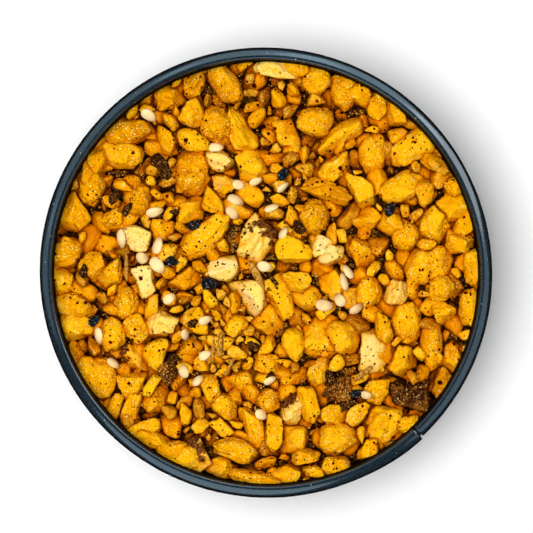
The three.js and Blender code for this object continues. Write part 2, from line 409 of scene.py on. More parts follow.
def facets(rng, kind):
    """Outward directions and distances of the flats that cut a piece, how square its body is before
    them, and how crisp its edges are."""
    if kind in ("egg", "drop", "lobed", "grain"):
        normals = rng.normal(0, 1, (8, 3))
        distances, squareness, crispness = rng.uniform(0.84, 1.0, 8), 2.2, rng.uniform(10, 18)
    else:
        sides = {"cube": 4, "bar": 5}.get(kind, int(rng.integers(3, 7)))
        start = 0.0 if kind in ("cube", "bar") else rng.uniform(0, 2 * math.pi)
        azimuths = start + 2 * math.pi * (np.arange(sides) + rng.uniform(-0.3, 0.3, sides)) / sides
        tilts = rng.normal(0.12, 0.25, sides)
        walls = np.stack([np.cos(azimuths), np.sin(azimuths), np.tan(tilts)], axis=1)
        caps = np.array([[0, 0, 1], [0, 0, 1], [0, 0, -1]]) + rng.normal(0, 0.35, (3, 3))
        normals = np.vstack([walls, caps])
        near = 0.85 if kind in ("cube", "bar") else 0.6
        distances = np.append(rng.uniform(near, 1.0, sides), rng.uniform(0.62, 0.95, 3))
        squareness, crispness = 5.0, rng.uniform(14, 24) if kind == "half" else rng.uniform(28, 65)
    normals /= np.linalg.norm(normals, axis=1)[:, None]
    return normals, distances, squareness, crispness


def normals_of(points, faces):
    """The outward direction of the skin at each point."""
    first, second, third = (points[faces[:, corner]] for corner in range(3))
    across = np.cross(second - first, third - first)
    normals = np.zeros_like(points)
    for corner in range(3):
        np.add.at(normals, faces[:, corner], across)
    return normals / np.linalg.norm(normals, axis=1)[:, None]


def ridge_share(points, faces):
    """1 where the skin turns sharply outward, as on the edge of a flat, and 0 where it is even."""
    pull, ends = np.zeros_like(points), np.zeros(len(points))
    for corner in range(3):
        here = faces[:, corner]
        np.add.at(pull, here, points[faces[:, corner - 1]] + points[faces[:, corner - 2]]
                  - 2 * points[here])
        np.add.at(ends, here, 2)
    pitch = math.sqrt(4 * math.pi / len(points))
    bend = -(pull * normals_of(points, faces)).sum(axis=1) / ends / (0.5 * pitch ** 2)
    return np.clip((bend - 2.0) / 1.8, 0, 1)


def nut_shape(rng, kind, detail):
    """Points of one piece within a box of -1 to 1, and at each of them the share of pale broken face
    and of sharp edge."""
    directions = detail[0]
    normals, distances, squareness, crispness = facets(rng, kind)
    pale = np.zeros(len(directions))
    if kind in ("half", "skin", "chunk", "wedge", "cube"):
        broken = np.array([rng.normal(0, 0.5), rng.normal(0, 0.5), 1.0])
        broken /= np.linalg.norm(broken)
        flat = 0.55 if kind == "half" else rng.uniform(0.6, 0.85)
        normals = np.vstack([normals, broken])
        distances = np.append(distances, flat)
    body = (np.abs(directions) ** squareness).sum(axis=1) ** (1 / squareness)
    facing = np.maximum(directions @ normals.T, 0) / distances
    reach = (body ** crispness + (facing ** crispness).sum(axis=1)) ** (-1 / crispness)
    points = directions * reach[:, None]
    if kind in ("half", "chunk", "wedge", "cube"):
        share = 0.95 if kind == "half" else rng.uniform(0.1, 0.5) * (rng.random() < 0.25)
        nearness = (points @ broken) / flat
        pale = share * np.clip((nearness - 0.86) / 0.1, 0, 1)
    along = points[:, 0]
    if kind in ("wedge", "drop"):
        squeeze = 1 - (0.72 if kind == "wedge" else 0.55) * np.clip((along + 0.7) / 1.7, 0, 1) ** 1.2
        points[:, 1] *= squeeze
        points[:, 2] *= 0.4 + 0.6 * squeeze
    if kind in ("chunk", "half", "skin", "cube"):
        uneven = 0.15 if kind == "cube" else 0.35
        points[:, 1] *= 1 + rng.uniform(-uneven, uneven) * along
        points[:, 0] += rng.uniform(-uneven, uneven) * points[:, 1]
    if kind == "lobed":
        waist = 1 - 0.2 * np.exp(-(((along - 0.12) / 0.24) ** 2))
        waist = waist * (1 + 0.14 * along)
        points[:, 1] *= waist
        points[:, 2] *= waist
    if kind == "egg":
        points[:, 1] *= 1 + rng.uniform(-0.25, 0.25) * along
    if kind in ("egg", "bar", "drop"):
        points[:, 1] += rng.uniform(-0.2, 0.2) * (along ** 2 - 0.3)
    knobby = {"grain": 0.09, "half": 0.045}.get(kind, 0.055)
    for depth, pitch in ((0.09, 2.2), (knobby, 6.0), (0.4 * knobby, 15.0)):
        points += waviness(rng, directions, depth, pitch)[:, None] * directions
    points -= (points.max(axis=0) + points.min(axis=0)) / 2
    points /= np.abs(points).max(axis=0)
    return points, pale, ridge_share(points, detail[1])


def waviness(rng, directions, depth, pitch):
    """A smooth unevenness over a ball of directions."""
    waves = rng.normal(0, pitch, (7, 3))
    phases = rng.uniform(0, 2 * math.pi, 7)
    return depth * np.sin(directions @ waves.T + phases).mean(axis=1) * 2


def grainy(rng, points, relief_mm):
    """The same points with a skin of salt and spice grains, proud by about relief_mm."""
    outward = points / np.linalg.norm(points, axis=1)[:, None]
    return points + outward * rng.normal(0, relief_mm, len(points))[:, None]


def turned(points, turn_deg, tilt_deg):
    """Points leant over about x and y, then turned about z."""
    spin = Matrix.Rotation(math.radians(turn_deg), 3, "Z")
    lean = Matrix.Rotation(math.radians(tilt_deg[0]), 3, "X") @ Matrix.Rotation(
        math.radians(tilt_deg[1]), 3, "Y")
    return points @ np.array(spin @ lean).T


# ---------------------------------------------------------------- laying pieces on a height map
CELL = 0.3
FINE_CELL = 0.15


class Heap:
    """Two height maps of the filling: one of everything in it, and one of the pieces that lie on
    top. Pieces go in from above and come to rest on what is there."""

    def __init__(self):
        self.half = int(math.ceil((FILL_RADIUS + 9) / CELL))
        side = 2 * self.half + 1
        line = (np.arange(side) - self.half) * CELL
        self.x, self.y = np.meshgrid(line, line, indexing="ij")
        radius = np.hypot(self.x, self.y)
        limit = INNER_RADIUS - 0.1 + out_of_round(np.arctan2(self.y, self.x))
        self.inside = radius < limit + 1.5
        self.height = np.where(self.inside, CORE_TOP, 1e3)
        self.upper = np.where(self.inside, 0.0, 1e3)
        self.mean = None

    def print_of(self, points, faces):
        """The lowest and highest height of a piece over each cell it covers."""
        corners = points[faces]
        weights = np.array([[1, 0, 0], [0, 1, 0], [0, 0, 1], [0.5, 0.5, 0], [0.5, 0, 0.5],
                            [0, 0.5, 0.5], [1 / 3, 1 / 3, 1 / 3]])
        samples = np.einsum("wk,fkc->fwc", weights, corners).reshape(-1, 3)
        cell = np.rint(samples[:, :2] / CELL).astype(int)
        reach = int(np.abs(cell).max())
        side = 2 * reach + 1
        low = np.full((side, side), np.inf)
        high = np.full((side, side), -np.inf)
        np.minimum.at(low, (cell[:, 0] + reach, cell[:, 1] + reach), samples[:, 2])
        np.maximum.at(high, (cell[:, 0] + reach, cell[:, 1] + reach), samples[:, 2])
        return reach, low, high

    def window(self, x, y, reach):
        """The cells within reach of a place, or None if they leave the map."""
        i = int(round(x / CELL)) + self.half
        j = int(round(y / CELL)) + self.half
        side = len(self.height)
        if i < reach or j < reach or i + reach >= side or j + reach >= side:
            return None
        return slice(i - reach, i + reach + 1), slice(j - reach, j + reach + 1)

    def rest_height(self, ground, x, y, mark, give=0.0):
        """How high a piece comes to rest on a map at a place, or None if the wall is in its way.
        Its thin edges may press into their neighbours by give."""
        reach, low, high = mark
        window = self.window(x, y, reach)
        if window is None:
            return None
        covered = np.isfinite(low)
        if not self.inside[window][covered].all():
            return None
        thick = np.where(covered, high - low, 0)
        soft = give * (1 - thick / thick.max())
        return float((ground[window] - low - soft)[covered].max())

    def settle(self, x, y, z, mark, on_top=False):
        """Adds a piece at its place to the map of everything, and if it lies on top, to both."""
        reach, _, high = mark
        window = self.window(x, y, reach)
        covered = np.isfinite(high)
        for ground in (self.height, self.upper) if on_top else (self.height,):
            here = ground[window]
            here[covered] = np.maximum(here[covered], (high + z)[covered])

    def around(self, x, y):
        """The mean height of the surface within about 1.3 mm of each place."""
        if self.mean is None:
            open_share = (self.height < FILL_TOP + 2).astype(float)
            level = np.minimum(self.height, FILL_TOP) * open_share
            steps = [(i, j) for i in range(-4, 5) for j in range(-4, 5) if i * i + j * j <= 18]
            level, open_share = (sum(np.roll(field, step, axis=(0, 1)) for step in steps)
                                 for field in (level, open_share))
            self.mean = level / np.maximum(open_share, 1)
        i = np.rint(x / CELL).astype(int) + self.half
        j = np.rint(y / CELL).astype(int) + self.half
        return self.mean[i, j]

    def surface(self, x, y, blur=2):
        """Height and upward normal of the surface at a place, smoothed over a few cells."""
        i = int(round(x / CELL)) + self.half
        j = int(round(y / CELL)) + self.half
        patch = self.height[i - blur : i + blur + 1, j - blur : j + blur + 1]
        patch = np.minimum(patch, FILL_TOP + 1)
        rise_x = (patch[-1].mean() - patch[0].mean()) / (2 * blur * CELL)
        rise_y = (patch[:, -1].mean() - patch[:, 0].mean()) / (2 * blur * CELL)
        normal = Vector((-rise_x, -rise_y, 1)).normalized()
        return float(np.percentile(patch, 70)), normal


# The pieces that catch the eye are placed one by one: (x, y, length, width, turn in degrees, tone from
# deep orange 0 to pale yellow 1). They are drawn larger than listed, and a little further out.
LAID_GROWTH = 1.17
LAID_OUTWARD = 1.01
LAID = {
    "egg": [
        (-23.0, 23.0, 8.6, 4.6, 0, 0.25), (-22.8, 18.3, 8.3, 5.1, 0, 0.75),
        (-7.8, 31.9, 8.0, 4.4, -30, 0.5), (-10.1, 5.9, 9.8, 4.4, 42, 0.7),
        (-31.1, 14.7, 6.2, 4.6, 90, 0.45), (-31.4, 3.4, 5.1, 4.9, 0, 0.5),
        (8.1, 31.6, 5.1, 5.0, 0, 0.6), (12.3, 28.4, 6.1, 4.4, 90, 0.55),
        (8.8, 25.4, 6.6, 5.2, 0, 0.6), (17.2, 20.4, 7.9, 4.7, 90, 0.8),
        (23.0, 19.4, 7.4, 4.7, 35, 0.85), (22.8, 14.5, 7.3, 4.4, 20, 0.7),
        (23.7, 6.4, 5.1, 4.2, 90, 0.6), (28.9, -1.9, 5.0, 4.6, 0, 0.7),
        (31.3, 14.4, 3.4, 3.2, 0, 0.6), (-30.8, -5.4, 6.6, 4.4, -25, 0.7),
        (-25.2, -10.5, 5.7, 4.4, 90, 0.75), (-23.8, -5.2, 4.9, 4.1, 90, 0.6),
        (-4.2, -9.3, 4.1, 4.0, 0, 0.95), (-27.9, -17.2, 7.1, 5.5, -45, 0.6),
        (-13.8, -30.4, 6.4, 4.1, -15, 0.8), (-3.7, -30.0, 7.9, 3.9, 0, 0.6),
        (-2.2, -33.6, 9.4, 2.9, 0, 0.6), (17.8, -3.2, 5.7, 4.4, 90, 0.7),
        (12.2, -10.0, 6.4, 5.4, -50, 0.75), (23.7, -8.8, 6.9, 4.4, 90, 0.6),
        (27.5, -12.3, 8.4, 3.7, 85, 0.6), (33.2, -5.2, 6.1, 3.4, 85, 0.7),
        (11.2, -27.5, 7.1, 5.6, 10, 0.7), (11.4, -31.6, 4.9, 3.7, 0, 0.7),
    ],
    "chunk": [
        (-15.9, 30.4, 5.2, 4.4, 0, 0.5), (-12.8, 26.4, 5.1, 4.6, 90, 0.6),
        (-11.0, 29.4, 5.4, 4.1, 90, 0.55), (-16.9, 22.1, 4.6, 2.7, 90, 0.45),
        (-2.4, 17.9, 5.6, 5.0, 0, 0.85), (-7.1, 15.2, 4.2, 3.0, 0, 0.5),
        (-8.3, 11.5, 5.1, 3.7, 90, 0.5), (-29.6, 9.5, 6.1, 4.7, 90, 0.5),
        (-28.2, 18.8, 5.0, 4.2, 30, 0.45), (-26.9, 15.2, 4.8, 4.2, -20, 0.5),
        (-26.4, 0.0, 5.0, 4.2, 20, 0.6), (-29.2, 1.0, 4.2, 3.8, 50, 0.5),
        (4.2, 31.6, 5.2, 3.7, 0, 0.6), (8.6, 29.1, 2.9, 2.2, 0, 0.6),
        (15.9, 29.7, 5.1, 4.1, 0, 0.6), (21.3, 27.1, 5.4, 3.4, -30, 0.6),
        (3.2, 23.3, 4.6, 4.5, 0, 0.6), (11.3, 17.6, 5.0, 4.2, 10, 0.6),
        (27.4, 18.6, 5.4, 3.4, -40, 0.45), (30.1, 9.6, 5.6, 5.1, 0, 0.7),
        (27.7, 7.3, 5.7, 5.0, 0, 0.9), (17.1, 8.5, 5.0, 4.2, 30, 0.6),
        (20.6, 7.8, 4.6, 3.8, -30, 0.6), (4.2, 4.7, 6.1, 4.7, 0, 0.75),
        (16.1, 3.2, 5.1, 4.1, 90, 0.7), (34.0, 1.0, 5.7, 2.8, 90, 0.7),
        (33.0, 7.9, 5.3, 3.0, 80, 0.6), (31.4, 4.6, 4.8, 4.0, 0, 0.6),
        (29.7, 15.9, 4.2, 3.4, 0, 0.5), (-32.6, -1.4, 4.2, 3.7, 90, 0.85),
        (-31.9, -8.9, 5.0, 4.8, 0, 0.75), (-21.3, -9.5, 5.0, 4.2, 0, 0.6),
        (-13.2, -0.8, 5.4, 4.4, 0, 0.6), (2.0, -4.2, 7.1, 5.2, 100, 0.85),
        (-12.5, -8.3, 4.6, 4.0, 0, 0.6), (-12.7, -13.2, 4.7, 4.6, 0, 0.7),
        (-22.6, -18.6, 5.0, 4.4, 20, 0.6), (-19.3, -21.8, 4.9, 4.4, 0, 0.65),
        (-14.0, -27.2, 5.0, 4.0, 0, 0.6), (-8.6, -31.8, 4.9, 4.1, 0, 0.7),
        (-8.3, -19.3, 5.2, 3.0, 90, 0.6), (0.0, -15.6, 4.7, 3.7, 0, 0.6),
        (4.7, -1.5, 4.9, 3.2, 0, 0.7), (11.2, -2.0, 5.2, 5.1, 0, 0.8),
        (6.4, -5.2, 5.0, 4.2, 30, 0.8), (20.3, -9.6, 5.1, 3.0, 90, 0.6),
        (29.9, -6.4, 3.9, 3.8, 0, 0.6), (23.3, -15.2, 5.6, 4.4, 90, 0.7),
        (30.3, -13.3, 4.9, 3.2, 70, 0.6), (9.3, -16.4, 4.9, 4.6, 90, 0.7),
        (11.7, -23.0, 4.4, 3.8, 0, 0.6), (6.9, -30.6, 4.7, 3.0, 0, 0.7),
        (17.4, -28.3, 4.9, 3.4, 30, 0.6), (3.4, -32.9, 4.7, 3.6, 0, 0.7),
        (7.6, -32.9, 3.6, 2.6, 0, 0.6), (23.6, -24.6, 3.6, 3.0, 0, 0.7),
        (19.3, -20.3, 4.6, 4.0, 0, 0.6), (28.6, -18.0, 4.6, 3.0, 60, 0.1),
    ],
    "bar": [
        (12.5, 22.8, 7.8, 3.4, 35, 0.75), (11.0, 13.9, 8.8, 3.4, -30, 0.3),
        (1.2, -9.1, 7.1, 3.2, 0, 0.8), (-18.8, -18.3, 4.4, 1.8, 60, 0.7),
        (-23.0, -23.7, 7.1, 2.7, 75, 0.7), (-25.0, -22.3, 4.6, 1.9, 70, 0.6),
        (-19.4, -25.2, 5.6, 2.7, 25, 0.75), (-18.6, -27.6, 6.4, 2.9, -30, 0.7),
        (-2.0, -25.7, 8.1, 3.4, -60, 0.7), (1.0, -27.0, 6.3, 2.7, 90, 0.65),
        (4.4, -16.9, 5.2, 2.9, 10, 0.7), (7.3, -23.0, 6.6, 3.2, 90, 0.7),
    ],
    "wedge": [
        (-3.4, 24.0, 8.3, 4.7, 90, 0.8), (-25.2, 9.5, 4.6, 4.0, 60, 0.6),
        (17.6, 26.2, 4.4, 3.8, 100, 0.55), (16.1, 14.5, 7.1, 4.7, 140, 0.9),
        (15.4, -24.3, 5.0, 3.6, 60, 0.7),
    ],
    "drop": [
        (-11.7, 21.8, 6.3, 3.7, -30, 0.85), (26.0, 13.2, 4.6, 3.4, -70, 0.6),
        (-17.7, -13.4, 5.6, 4.2, 55, 0.75), (-6.9, -22.7, 4.8, 3.6, -60, 0.7),
        (8.8, -11.5, 6.8, 5.7, -50, 0.75), (5.1, -12.3, 5.7, 3.9, -80, 0.7),
        (19.4, -24.5, 7.9, 6.2, 230, 0.8),
    ],
    "cube": [
        (-12.8, 10.3, 4.1, 3.7, 0, 0.85), (-27.2, 5.2, 4.1, 3.7, 10, 1.0),
        (-3.9, -19.1, 5.4, 4.4, 90, 0.7), (4.6, -28.1, 4.7, 4.6, 10, 0.85),
    ],
    "half": [
        (-7.4, 18.8, 4.9, 3.7, 0, 0.8), (-6.8, 1.5, 5.8, 4.4, 0, 0.95),
        (-21.8, 5.7, 4.4, 3.9, 0, 0.9), (2.0, 33.8, 7.4, 3.6, 0, 0.9),
        (9.3, 4.4, 3.9, 3.7, 0, 0.95), (10.6, 2.5, 4.1, 4.0, 0, 0.85),
        (-20.4, -2.0, 5.6, 4.4, 90, 0.9), (-2.7, -4.6, 7.1, 6.1, -60, 1.0),
        (23.0, -2.4, 4.6, 4.0, 0, 0.8), (18.4, -13.5, 7.1, 5.1, 90, 0.85),
    ],
    "skin": [
        (-1.2, 5.9, 7.6, 5.1, 90, 0.6), (-17.4, -8.1, 6.1, 5.6, 0, 0.75),
        (-22.5, -14.2, 5.4, 4.7, 0, 0.4), (-10.3, -27.7, 5.7, 4.1, 90, 0.3),
        (4.4, -23.0, 6.4, 4.4, 90, 0.8),
    ],
    "lobed": [
        (-12.5, 16.2, 7.2, 5.7, 90, 0.5), (27.4, 1.4, 7.6, 6.0, 10, 0.75),
    ],
    "grain": [
        (-7.8, 25.0, 7.1, 6.1, 90, 0.4), (-21.6, 12.7, 6.1, 4.4, 90, 0.35),
        (8.5, 9.8, 6.1, 5.4, 90, 0.3), (0.3, -21.6, 3.9, 3.7, 0, 0.4),
    ],
    "dark": [
        (24.5, -20.6, 6.8, 5.1, -10, 0.2), (-16.6, -16.7, 3.9, 2.9, 90, 0.4),
        (12.0, -19.9, 4.6, 4.2, 0, 0.5),
    ],
}
# Sesame seeds that lie on top: (x, y, turn in degrees, how much of it shows).
SESAME_LAID = [
    (10.0, -5.6, 0, 1.0), (15.4, -6.1, 90, 1.0), (12.5, -4.6, 120, 0.9), (13.2, -1.5, 90, 1.0),
    (-18.9, 10.3, 30, 1.0), (-24.5, 5.7, -55, 1.1), (-18.4, 4.7, 80, 1.0), (-21.0, 2.5, 20, 1.0),
    (-18.4, 1.2, -50, 1.05), (-19.9, 26.7, -60, 1.0), (-5.1, 12.3, -50, 1.0),
    (-5.7, 10.1, -60, 0.9), (-4.6, 14.9, 0, 0.8), (-1.7, 15.5, 20, 0.75), (2.9, 14.5, 0, 0.8),
    (1.0, 11.0, 10, 0.85), (3.0, 6.8, 40, 0.8), (-0.2, 1.0, -10, 0.85), (13.9, 0.2, 100, 0.9),
    (-28.4, -10.8, -80, 0.95), (-25.9, -15.5, -50, 0.85), (-10.3, -8.1, 0, 0.8),
    (-10.3, -14.0, 30, 0.75), (-14.0, -16.7, 80, 0.9), (-11.5, -18.3, 0, 0.85),
    (-0.8, -24.2, -10, 0.85), (0.7, -18.3, 30, 0.75), (-16.4, -4.4, 40, 0.8),
    (-13.7, -10.6, -30, 0.8), (17.1, -20.8, 0, 0.7), (-8.5, 21.3, 0, 0.85),
]
NIGELLA_LAID = [
    (-9.5, -1.9, 0, 1.1), (21.0, 10.8, 60, 0.95), (-15.9, 1.9, -10, 0.85), (-12.2, 8.1, 20, 0.85),
    (3.0, 16.7, 45, 0.9), (15.5, -20.6, 0, 0.85), (-29.1, -8.1, 30, 0.85),
]
CUMIN_LAID = [(-1.5, -0.5, -60, 1.1), (-7.8, -12.3, 85, 0.9), (16.4, -17.2, 40, 0.8)]
SCRAPS_LAID = [
    (-18.0, 18.4, 3.6, 2.6, -40), (-17.0, 16.6, 2.4, 1.6, 30), (-25.8, 12.7, 3.0, 1.6, 60),
    (-23.6, 10.8, 2.6, 1.3, 50), (5.6, 7.6, 2.6, 1.6, -40), (14.0, -22.4, 3.2, 1.8, 20),
    (10.8, -18.0, 3.0, 1.8, -60), (-2.2, -12.4, 2.2, 1.4, 10), (-15.6, -14.6, 2.6, 1.6, 0),
    (-12.6, -8.6, 2.0, 1.6, 0), (-31.0, 0.2, 2.4, 1.6, 80),
]
STRAWS_LAID = [(-23.7, 1.2, 90, 1.15), (-9.0, -13.2, 88, 1.0), (-6.2, -16.0, 60, 0.8)]

# Where the small bits of nut lie, and where the finest crumbs gather: (x, y, spread, share). Other
# crumbs lie anywhere within CRUMB_REACH.
SMALL_BITS_AT = (-7.0, -10.0)
SMALL_BITS_REACH = 7.0
CRUMB_REACH = 35.0
CRUMB_DRIFTS = [(-8.0, -10.0, 7.5, 0.42), (-20.0, 6.0, 5.5, 0.1), (-1.0, 1.0, 6.0, 0.12),
                (13.0, -17.5, 5.0, 0.1)]
DRIFT_ODDS = np.array([drift[3] for drift in CRUMB_DRIFTS])
DRIFT_ODDS = DRIFT_ODDS / DRIFT_ODDS.sum()


class NutHeap:
    """Lays the nut pieces and keeps them by kind, each as (points, faces, marks), where the marks
    are the values that its skin reads."""

    kept_in = {"egg": "nuts_rounded", "drop": "nuts_rounded", "lobed": "nuts_rounded",
               "grain": "nuts_rounded", "half": "nuts_split", "skin": "nuts_split",
               "dark": "nuts_toasted"}

    def __init__(self, heap, rng):
        self.heap, self.rng = heap, rng
        self.groups = {}

    def keep(self, group, kind, points, detail, tone, pale, ridge):
        """Keeps a piece. What touches the wall lies flush against it."""
        azimuth = np.arctan2(points[:, 1], points[:, 0])
        wall = INNER_RADIUS - 0.12 + out_of_round(azimuth)
        flush = np.minimum(1, wall / np.hypot(points[:, 0], points[:, 1]))
        points = points * np.stack([flush, flush, np.ones(len(points))], axis=1)
        grit = {"grain": 1.0, "egg": 0.75, "lobed": 0.9, "dark": 0.9, "half": 0.35}.get(kind, 0.5)
        grit = np.clip(grit + self.rng.normal(0, 0.22), 0.05, 1)
        # Painted shade and light: pieces out towards the wall, which shades them, get a deeper tone and
        # less pale face, those near the middle a paler one.
        reach = math.hypot(points[:, 0].mean(), points[:, 1].mean()) / 34
        tone, pale = tone + 0.2 - 0.28 * reach, pale * (1.15 - 0.75 * reach)
        even = np.ones(len(points))
        marks = {"tone": tone * even, "pale": pale, "ridge": ridge, "grit": grit * even,
                 "husk": float(kind == "skin") * even}
        self.groups.setdefault(group, []).append((points, detail[1], marks))

    def lay_by_hand(self):
        """The pieces listed above. Each shifts and turns a little to lie as low as it can."""
        rng = self.rng
        laid = [(kind, *entry) for kind, entries in LAID.items() for entry in entries]
        for index in rng.permutation(len(laid)):
            kind, x, y, long, wide, turn, tone = laid[index]
            x, y = LAID_OUTWARD * x, LAID_OUTWARD * y
            long, wide = LAID_GROWTH * long, LAID_GROWTH * wide
            shape, pale, ridge = nut_shape(rng, "chunk" if kind == "dark" else kind, FINE)
            if kind == "half":
                pale = pale * np.clip(3.2 * (tone - 0.7), 0.3, 1)
            pale = pale * (kind != "dark")
            high = wide * rng.uniform(0.75, 1.0)
            rounded = kind in ("egg", "lobed", "grain", "drop")
            lean = rng.normal(0, 8 if rounded else 14, 2)
            relief = {"egg": 0.07, "lobed": 0.075, "grain": 0.1, "dark": 0.11}.get(kind, 0.055)
            drop = abs(rng.normal(0, 0.6)) * (kind != "dark")
            best = None
            for attempt in range(24):
                shrink = 1 - 0.006 * attempt
                nudge = rng.normal(0, 0.05 + 0.02 * attempt, 2)
                spin = turn + rng.normal(0, 0.5 * attempt)
                body = turned(shape * np.array([long, wide, high]) * shrink / 2, spin, lean)
                body = grainy(rng, body, relief)
                if attempt == 0:
                    outer = np.hypot(body[:, 0] + x, body[:, 1] + y).max()
                    if outer > INNER_RADIUS - 2.6:
                        outward = 1 + (INNER_RADIUS + 0.9 - outer) / math.hypot(x, y)
                        x, y, drop = x * outward, y * outward, 0.4 * drop
                mark = self.heap.print_of(body, FINE[1])
                z = self.heap.rest_height(self.heap.upper, x + nudge[0], y + nudge[1], mark, 1.1)
                if z is None:
                    x, y = 0.994 * x, 0.994 * y
                    continue
                lift = z + body[:, 2].max() - (FILL_TOP - drop)
                if best is None or lift < best[0]:
                    best = (lift, body, mark, x + nudge[0], y + nudge[1], z)
                if lift <= 0:
                    break
            if best is None:
                continue
            lift, body, mark, x, y, z = best
            top = body[:, 2].max()
            z = min(max(z, FILL_TOP - drop - top), FILL_TOP + 0.2 - top)
            self.heap.settle(x, y, z, mark, on_top=True)
            self.keep(self.kept_in.get(kind, "nuts_chopped"), kind, body + (x, y, z), FINE, tone,
                      pale, ridge)

    def fill(self, group, size, spread, detail, count, below, ceiling, give, where=None, level=False):
        """Smaller pieces, about size long and give or take spread, each dropped at one of a few open
        places, where the heap is still more than below under the fill's top: at the lowest, or to
        level the surface, at the highest. None rises to less than ceiling under that top, and by the
        wall they slide out to touch it. Thin edges press in by give. where narrows the places."""
        rng, heap = self.rng, self.heap
        for _ in range(count):
            kind = rng.choice(["chunk", "chunk", "chunk", "wedge", "bar", "egg", "wedge", "cube"])
            kind = "wedge" if group == "nut_bits" else kind
            long = max(size + rng.normal(0, spread), 0.7)
            wide = long * rng.uniform(0.5, 0.85)
            shape, pale, ridge = nut_shape(rng, kind, detail)
            box = np.array([long, wide, wide * rng.uniform(0.6, 0.95)])
            points = turned(shape * box / 2, rng.uniform(0, 360), rng.normal(0, 25, 2))
            mark = heap.print_of(points, detail[1])
            is_open = (heap.height < FILL_TOP - below) & heap.inside & (heap.upper < 1)
            if where:
                is_open &= where(heap.x, heap.y)
            open_cells = np.argwhere(is_open)
            if len(open_cells) == 0:
                continue
            best = None
            for i, j in open_cells[rng.integers(0, len(open_cells), 12)]:
                x, y = (i - heap.half) * CELL, (j - heap.half) * CELL
                z = heap.rest_height(heap.height, x, y, mark, give)
                while z is not None and math.hypot(x, y) > INNER_RADIUS - 1.6 * long:
                    outward = 1 + CELL / math.hypot(x, y)
                    further = heap.rest_height(heap.height, x * outward, y * outward, mark, give)
                    if further is None or further > z + 0.4:
                        break
                    x, y, z = x * outward, y * outward, further
                if z is None or z + points[:, 2].max() > FILL_TOP - ceiling:
                    continue
                if best is None or (z > best[2]) == level:
                    best = (x, y, z)
            if best is None:
                continue
            heap.settle(*best, mark)
            tone = float(np.clip(rng.normal(0.52, 0.26), 0, 1))
            soaked = tone < 0.34 and group != "nut_bits"
            self.keep("nuts_soaked" if soaked else group, kind, grainy(rng, points, 0.04) + best,
                      detail, tone + 0.3 * soaked, 0.6 * pale * (not soaked), ridge)


def seen_from_above(parts):
    """Over a fine grid, which piece comes first from above and how high its skin is there."""
    offsets = np.cumsum([0] + [len(part[0]) for part in parts[:-1]])
    faces = np.vstack([part[1] + offset for part, offset in zip(parts, offsets)])
    owner = np.repeat(np.arange(len(parts)), [len(part[1]) for part in parts])
    tree = BVHTree.FromPolygons(np.vstack([part[0] for part in parts]).tolist(), faces.tolist(),
                                all_triangles=True)
    half = int(INNER_RADIUS / FINE_CELL) + 6
    first = np.full((2 * half + 1, 2 * half + 1), -1)
    height = np.full(first.shape, CORE_TOP)
    for i, j in np.ndindex(first.shape):
        above = ((i - half) * FINE_CELL, (j - half) * FINE_CELL, FILL_TOP + 5)
        place, _, face, _ = tree.ray_cast(above, (0, 0, -1))
        if place:
            first[i, j], height[i, j] = owner[face], place.z
    return first, height


def mark_painted_shade(heap, parts):
    """Marks each point of each piece with low, its share of painted shade: how deep it lies in the heap,
    in a hollow, on a flank or under the edge of a neighbour, where shade falls."""
    first, height = seen_from_above(parts)
    half = len(first) // 2
    steps = [(i, j) for i in range(-4, 5) for j in range(-4, 5) if 0 < i * i + j * j <= 17]
    weights = [1 / math.hypot(i, j) for i, j in steps]
    for number, (points, faces, marks) in enumerate(parts):
        x, y, z = points.T
        sunk = np.clip((FILL_TOP - 1.0 - z) / 2.8, 0, 1)
        crease = np.clip((heap.around(x, y) - z - 0.35) / 1.9, 0, 1)
        flank = 1 - np.maximum(normals_of(points, faces)[:, 2], 0)
        flank *= np.hypot(x, y) < INNER_RADIUS - 0.35
        across, along = (np.rint(v / FINE_CELL).astype(int) + half for v in (x, y))
        beside = np.zeros(len(points))
        for (i, j), weight in zip(steps, weights):
            cells_there = across + i, along + j
            above = np.clip((height[cells_there] - z - 0.05) / 0.5, 0, 1)
            beside += weight * above * (first[cells_there] != number)
        beside = np.clip(2.2 * beside / sum(weights), 0, 1)
        # Painted shade: darker deep in the heap, in hollows, on flanks turned away from the light above,
        # and in the contact shadow under a higher neighbour.
        light = (1 - 0.56 * sunk) * (1 - 0.3 * crease) * (1 - 0.36 * flank) * (1 - 0.56 * beside)
        marks["low"] = 1 - light


def joined(name, parts, material):
    """One mesh of many loose pieces, with each piece's marks on its points."""
    offsets = np.cumsum([0] + [len(p[0]) for p in parts[:-1]])
    vertices = np.vstack([p[0] for p in parts])
    faces = np.vstack([p[1] + offset for p, offset in zip(parts, offsets)])
    marks = {label: np.concatenate([p[2][label] for p in parts]) for label in parts[0][2]}
    piece = piece_from(name, vertices, faces.tolist(), **marks)
    return belongs(piece, "dukkah", material)


